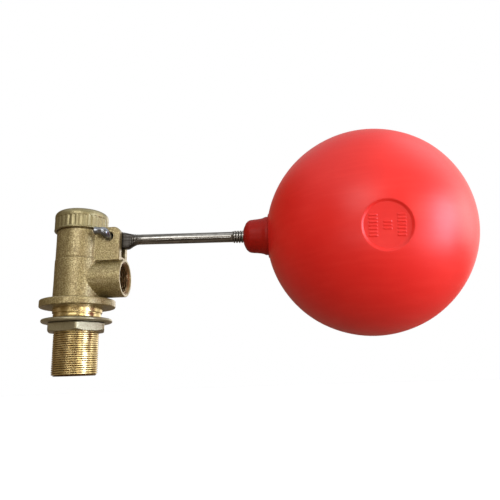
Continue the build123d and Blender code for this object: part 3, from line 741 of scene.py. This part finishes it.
# ---- split pin ----
def pin_route():
    """Centre line of both legs, from behind the boss to the bent tips, with a rounded bend at each turn."""
    corners = [Vector((PIVOT.x, PIN_BACK_Y, PIVOT.z)), PIN_TURN, PIN_KNUCKLE, PIN_TIP]
    points = [corners[0]]
    for before, corner, after in zip(corners, corners[1:], corners[2:]):
        back = (before - corner).normalized()
        on = (after - corner).normalized()
        reach = min(PIN_BEND, (before - corner).length * 0.5, (after - corner).length * 0.5)
        start = corner + back * reach
        span = (start - points[-1]).length
        points += [points[-1].lerp(start, k / ceil(span / 0.8)) for k in range(1, ceil(span / 0.8))]
        for k in range(11):
            t = k / 10
            points.append(start * (1 - t) ** 2 + corner * 2 * t * (1 - t) + (corner + on * reach) * t * t)
    span = (corners[-1] - points[-1]).length
    points += [points[-1].lerp(corners[-1], k / ceil(span / 0.4)) for k in range(1, ceil(span / 0.4) + 1)]
    return points


def make_pin():
    """Split pin: one half-round wire that runs up one leg, round the eye and back along the other leg."""
    route = pin_route()
    leg = []
    outward = PIN_SPLIT
    for i, point in enumerate(route):
        tangent = (route[min(i + 1, len(route) - 1)] - route[max(i - 1, 0)]).normalized()
        outward = (outward - tangent * outward.dot(tangent)).normalized()
        left = (route[-1] - point).length
        size = 1.0
        for at, grow, reach in PIN_SWELLS:
            size += grow * exp(-(((point - Vector(at)).length / reach) ** 2))
        if left < PIN_TIP_LENGTH:
            size *= sqrt(max(0.02, 1 - (1 - left / PIN_TIP_LENGTH) ** 2))
        leg.append((point + outward * PIN_GAP / 2, outward.copy(), tangent, size))
    spots = []
    join = radians(52)
    start = Vector((PIN_BACK_Y, PIN_GAP / 2))
    end = Vector((PIN_EYE_Y - PIN_EYE_R * cos(join), PIN_EYE_R * sin(join)))
    slope = Vector((sin(join), cos(join))) * 5.0
    for k in range(8):
        t = k / 8
        spot = start * (2 * t**3 - 3 * t**2 + 1) + Vector((5, 0)) * (t**3 - 2 * t**2 + t)
        spots.append(spot + end * (3 * t**2 - 2 * t**3) + slope * (t**3 - t**2))
    for k in range(25):
        angle = join + (pi - join) * k / 24
        spots.append(Vector((PIN_EYE_Y - PIN_EYE_R * cos(angle), PIN_EYE_R * sin(angle))))
    upper = []
    for i, spot in enumerate(spots):
        ahead = spots[i + 1] if i + 1 < len(spots) else Vector((spot.x, -spots[-2].y))
        behind = spots[i - 1] if i else Vector((PIN_BACK_Y - 1, PIN_GAP / 2))
        run = (ahead - behind).normalized()
        normal = Vector((-run.y, run.x))
        place_at = Vector((PIVOT.x, spot.x, PIVOT.z)) + PIN_SPLIT * spot.y
        outward = Vector((0, normal.x, 0)) + PIN_SPLIT * normal.y
        upper.append((place_at, outward, Vector((0, run.x, 0)) + PIN_SPLIT * run.y, 1.0))
    wire = [(p, o, -t, s) for p, o, t, s in reversed(leg)] + upper
    lower_eye = []
    for place_at, outward, tangent, size in reversed(upper[:-1]):
        gone = PIN_SPLIT * (place_at - Vector((PIVOT.x, place_at.y, PIVOT.z))).dot(PIN_SPLIT) * 2
        flip = outward - PIN_SPLIT * outward.dot(PIN_SPLIT) * 2
        back = tangent - PIN_SPLIT * tangent.dot(PIN_SPLIT) * 2
        lower_eye.append((place_at - gone, flip, -back, size))
    lower_leg = [(p - o * PIN_GAP, -o, t, s) for p, o, t, s in leg]
    wire += lower_eye + lower_leg
    arc = 18
    section = [(PIN_R * sin(pi * k / arc), PIN_R * cos(pi * k / arc)) for k in range(arc + 1)]
    section = [(max(n, 0.0), b * (0.985 if n < 0.1 else 1.0)) for n, b in section]
    section += [(0.0, -PIN_R * 0.5), (0.0, 0.0), (0.0, PIN_R * 0.5)]
    verts = []
    for place_at, outward, tangent, size in wire:
        across = tangent.cross(outward).normalized()
        for n, b in section:
            verts.append(place_at + outward * n * size + across * b * size)
    columns = len(section)
    faces = grid_faces(len(wire), columns)
    faces.append(tuple(range(columns)))
    faces.append(tuple((len(wire) - 1) * columns + j for j in range(columns)))
    piece = new_piece("split_pin", verts, faces, PIN_STEEL, "body", ("pivot_pin",), sharp=50)


# ---- float ----
def relief(x, y):
    """Height of the generic raised tally on the disc: three rows of short bars."""
    height = 0.0
    for row, count in TALLY_ROWS:
        for k in range(count):
            middle = (k - (count - 1) / 2) * TALLY_STEP
            inside = min(TALLY_HALF_LENGTH - abs(x - row), TALLY_HALF_WIDTH - abs(y - middle))
            height = max(height, TALLY_HEIGHT * smooth_step(-0.35, 0.3, inside))
    return height


def make_float():
    """Moulded ball with a sunk disc, joined to its neck, and hollow where the bush sits."""
    centre = lever_point(FLOAT_U, 0, 0)
    facing = UP * cos(DISC_TURN) + NEAR * sin(DISC_TURN)
    side = facing.cross(ALONG).normalized()
    profile = [(r, DISC_FLOOR) for r in steps(0, DISC_FLOOR_R - 0.5, 0.34)]
    wall_top = sqrt(FLOAT_R**2 - DISC_R**2)
    profile += [(DISC_FLOOR_R - 0.1, DISC_FLOOR + 0.03), (DISC_FLOOR_R + 0.2, DISC_FLOOR + 0.16)]
    profile += [(DISC_R - 0.5, wall_top - 0.38), (DISC_R - 0.15, wall_top - 0.12)]
    profile += [(DISC_R + 0.3, wall_top - 0.1)]
    start = (DISC_R + 0.9) / FLOAT_R
    for k in range(131):
        turn = start + (pi - start) * k / 130
        profile.append((FLOAT_R * sin(turn), FLOAT_R * cos(turn)))
    columns = 256
    verts = []
    for r, h in profile:
        for j in range(columns):
            angle = tau * j / columns
            x, y = r * cos(angle), r * sin(angle)
            lift = relief(x, y) if h == DISC_FLOOR else 0.0
            point = ALONG * x + side * y + facing * (h + lift)
            wave = noise.noise(point * 0.018) * 0.22 + noise.noise(point * 0.05) * 0.05 - 0.05
            verts.append(centre + point * (1 + wave / FLOAT_R))
    ball = new_piece("float_shell", verts, grid_faces(len(profile), columns), RED, "lever", ("float_ball",))
    reach = FLOAT_U - sqrt(FLOAT_R**2 - NECK_STEP_R**2)
    neck = [(7.4, NECK_U + 2.0), (7.4, NECK_U + 0.4), (7.9, NECK_U)]
    neck += [(8.6, NECK_U + 0.05), (10.5, NECK_U + 0.75), (12.8, NECK_U + 1.8), (14.6, NECK_U + 2.7)]
    outer = [(3.0, 15.0), (4.2, 16.3), (5.8, 17.6), (7.4, 18.3), (11, 18.8)]
    outer += [(16, 19.3), (21, 20.1), (25, 21.6)]
    stations = [(NECK_U + u, r) for u, r in outer]
    neck += [(through(stations, u), u) for u in steps(NECK_U + 3.0, reach - 0.9, 0.5)]
    neck += [(NECK_STEP_R - 0.5, reach - 0.75), (NECK_STEP_R, reach - 0.3), (NECK_STEP_R + 0.1, reach + 0.6)]
    neck += [(NECK_STEP_R - 1.5, reach + 6.0), (12.4, reach + 6.0), (12.4, NECK_U + 2.0)]

    def mould(radius, height, angle):
        if radius < 13:
            return radius, height
        wave = noise.noise(Vector((cos(angle) * 2, sin(angle) * 2, height * 0.15))) * 0.12
        return radius + wave, height

    # the neck wears the darker copy of the float's red, which paints the ball's shadow on it
    piece = spin(
        "float_neck",
        neck,
        128,
        NECK_RED_PAINTED_SHADE,
        "lever",
        ("float_ball",),
        origin=PIVOT,
        axis="lever",
        change=mould,
    )


# ---- camera, light and floor, in metres ----
FLOOR_R = 6.0
FLOOR_Z = -0.26


def make_camera():
    """The camera that the outline of the valve was fitted with."""
    data = bpy.data.cameras.new("camera")
    data.lens = CAMERA_LENS
    data.clip_start = 0.01
    camera = bpy.data.objects.new("camera", data)
    bpy.context.scene.collection.objects.link(camera)
    turn = (
        Matrix.Rotation(radians(CAMERA_YAW), 4, "Z")
        @ Matrix.Rotation(radians(90 + CAMERA_PITCH), 4, "X")
        @ Matrix.Rotation(radians(CAMERA_ROLL), 4, "Z")
    )
    camera.matrix_world = Matrix.Translation(Vector(CAMERA_PLACE) * MM) @ turn
    bpy.context.scene.camera = camera


def sky_direction(azimuth, elevation):
    """Unit vector towards a place in the sky, in degrees."""
    a, e = radians(azimuth), radians(elevation)
    return (cos(a) * cos(e), sin(a) * cos(e), sin(e))


def make_world():
    """Studio surroundings: warm dim room with soft boxes, and plain white straight behind the object."""
    world = bpy.data.worlds.new("studio")
    bpy.context.scene.world = world
    s = Shader(world)
    direction = s.add("ShaderNodeTexCoord").outputs["Generated"]
    parts = s.add("ShaderNodeSeparateXYZ", {0: direction})
    height = s.spread(parts.outputs["Z"], -1.0, 1.0)
    colour = s.ramp(
        height,
        (0.0, (0.16, 0.11, 0.07)),
        (0.40, (0.24, 0.17, 0.11)),
        (0.55, (0.42, 0.35, 0.28)),
        (0.75, (0.58, 0.56, 0.52)),
        (1.0, (0.56, 0.57, 0.59)),
    )
    # soft boxes: azimuth, elevation, half angle of the even middle, half angle with the soft edge, colour
    boxes = (
        (-130, 8, 14, 26, (0.20, 0.145, 0.08)),
        (150, 10, 30, 50, (0.17, 0.12, 0.065)),
        (-78, 6, 8, 22, (0.24, 0.17, 0.10)),
        (-101, 8, 1.5, 4.5, (3.4, 3.1, 2.5)),
        (-46, 8, 5, 10, (5.0, 4.6, 3.6)),
        (-100, 55, 22, 44, (1.0, 1.0, 1.0)),
        (-10, 10, 7, 18, (3.6, 3.6, 3.6)),
        (16, 10, 9, 22, (4.6, 4.6, 4.6)),
        (10, 48, 12, 30, (1.8, 1.85, 1.95)),
        (48, 12, 12, 30, (1.2, 1.15, 1.1)),
        (76, 12, 8, 18, (2.6, 2.5, 2.4)),
    )
    for azimuth, elevation, core, edge, glow in boxes:
        facing = s.add("ShaderNodeVectorMath", {0: direction, 1: sky_direction(azimuth, elevation)})
        facing.operation = "DOT_PRODUCT"
        amount = s.spread(facing.outputs["Value"], cos(radians(edge)), cos(radians(core)))
        colour = s.mix(amount, colour, glow)
    lit = s.add("ShaderNodeBackground", {"Color": colour, "Strength": 1.0})
    seen = s.add("ShaderNodeBackground", {"Color": (1, 1, 1, 1), "Strength": 1.0})
    ray = s.add("ShaderNodeLightPath")
    mixed = s.add("ShaderNodeMixShader", {0: ray.outputs["Is Camera Ray"]})
    s.put(mixed.inputs[1], lit.outputs[0])
    s.put(mixed.inputs[2], seen.outputs[0])
    out = s.add("ShaderNodeOutputWorld")
    s.put(out.inputs["Surface"], mixed.outputs[0])


def area_light(name, place_at, look_at, width, height, power, colour=(1, 1, 1)):
    """Rectangular lamp in metres and watts, aimed at a place and hidden from the camera."""
    data = bpy.data.lights.new(name, "AREA")
    data.shape = "RECTANGLE"
    data.size = width
    data.size_y = height
    data.energy = power
    data.color = colour
    light = bpy.data.objects.new(name, data)
    bpy.context.scene.collection.objects.link(light)
    light.visible_camera = False
    light.location = place_at
    light.rotation_euler = (Vector(look_at) - Vector(place_at)).to_track_quat("-Z", "Y").to_euler()


def make_floor():
    """Plain floor below the valve, white to the camera and warm brown in reflections."""
    s = Shader(bpy.data.materials.new("floor"))
    speck = s.noise(s.place(), 30, 2.0, 0.5)
    pale = s.mix(speck, (0.95, 0.95, 0.945), (0.97, 0.97, 0.965))
    seen = s.add("ShaderNodeLightPath").outputs["Is Camera Ray"]
    glow = s.math("MULTIPLY", seen, 0.5)
    colour = s.mix(seen, (0.22, 0.17, 0.12), pale)
    made = s.finish(colour, 0.8, Emission_Color=(1, 1, 1, 1), Emission_Strength=glow)
    bpy.ops.mesh.primitive_circle_add(
        vertices=96, radius=FLOOR_R, fill_type="NGON", location=(0.2, 0, FLOOR_Z)
    )
    floor = bpy.context.active_object
    floor.name = "floor"
    floor.data.materials.append(made)


def paint(node, made):
    """Give a CAD node that stays in view its material."""
    for slot in NODES[node].material_slots:
        slot.material = made


bpy.context.scene.view_settings.view_transform = "Standard"
make_camera()
make_world()
make_floor()
area_light("key", (1.28, -0.42, 0.07), (0.30, 0, 0.05), 0.5, 0.6, 9.5, (0.62, 0.76, 1.0))
area_light("front", (0.05, -1.35, 0.55), (0.2, 0, 0.05), 0.8, 0.6, 5.6)
area_light("low", (0.95, -0.5, -0.17), (0.33, -0.1, 0.05), 0.7, 0.16, 1.1, (1.0, 0.84, 0.9))
area_light("strip", (0.2, -0.95, -0.22), (0.14, 0, 0.075), 1.2, 0.05, 1.5)
make_casting()
make_shank()
make_outlet_thread()
make_top_thread()
make_cap()
make_washer()
make_nut()
make_lever()
make_pin()
make_float()
for node in ("seat_ring", "piston", "float_bush"):
    paint(node, TURNED)
for node in ("seal_washer", "seal_screw"):
    paint(node, STAINLESS)
for node in ("piston_oring_lower", "piston_oring_upper", "seal_disc"):
    paint(node, RUBBER)
for node in ("seat_gasket", "cap_gasket"):
    paint(node, FIBRE)
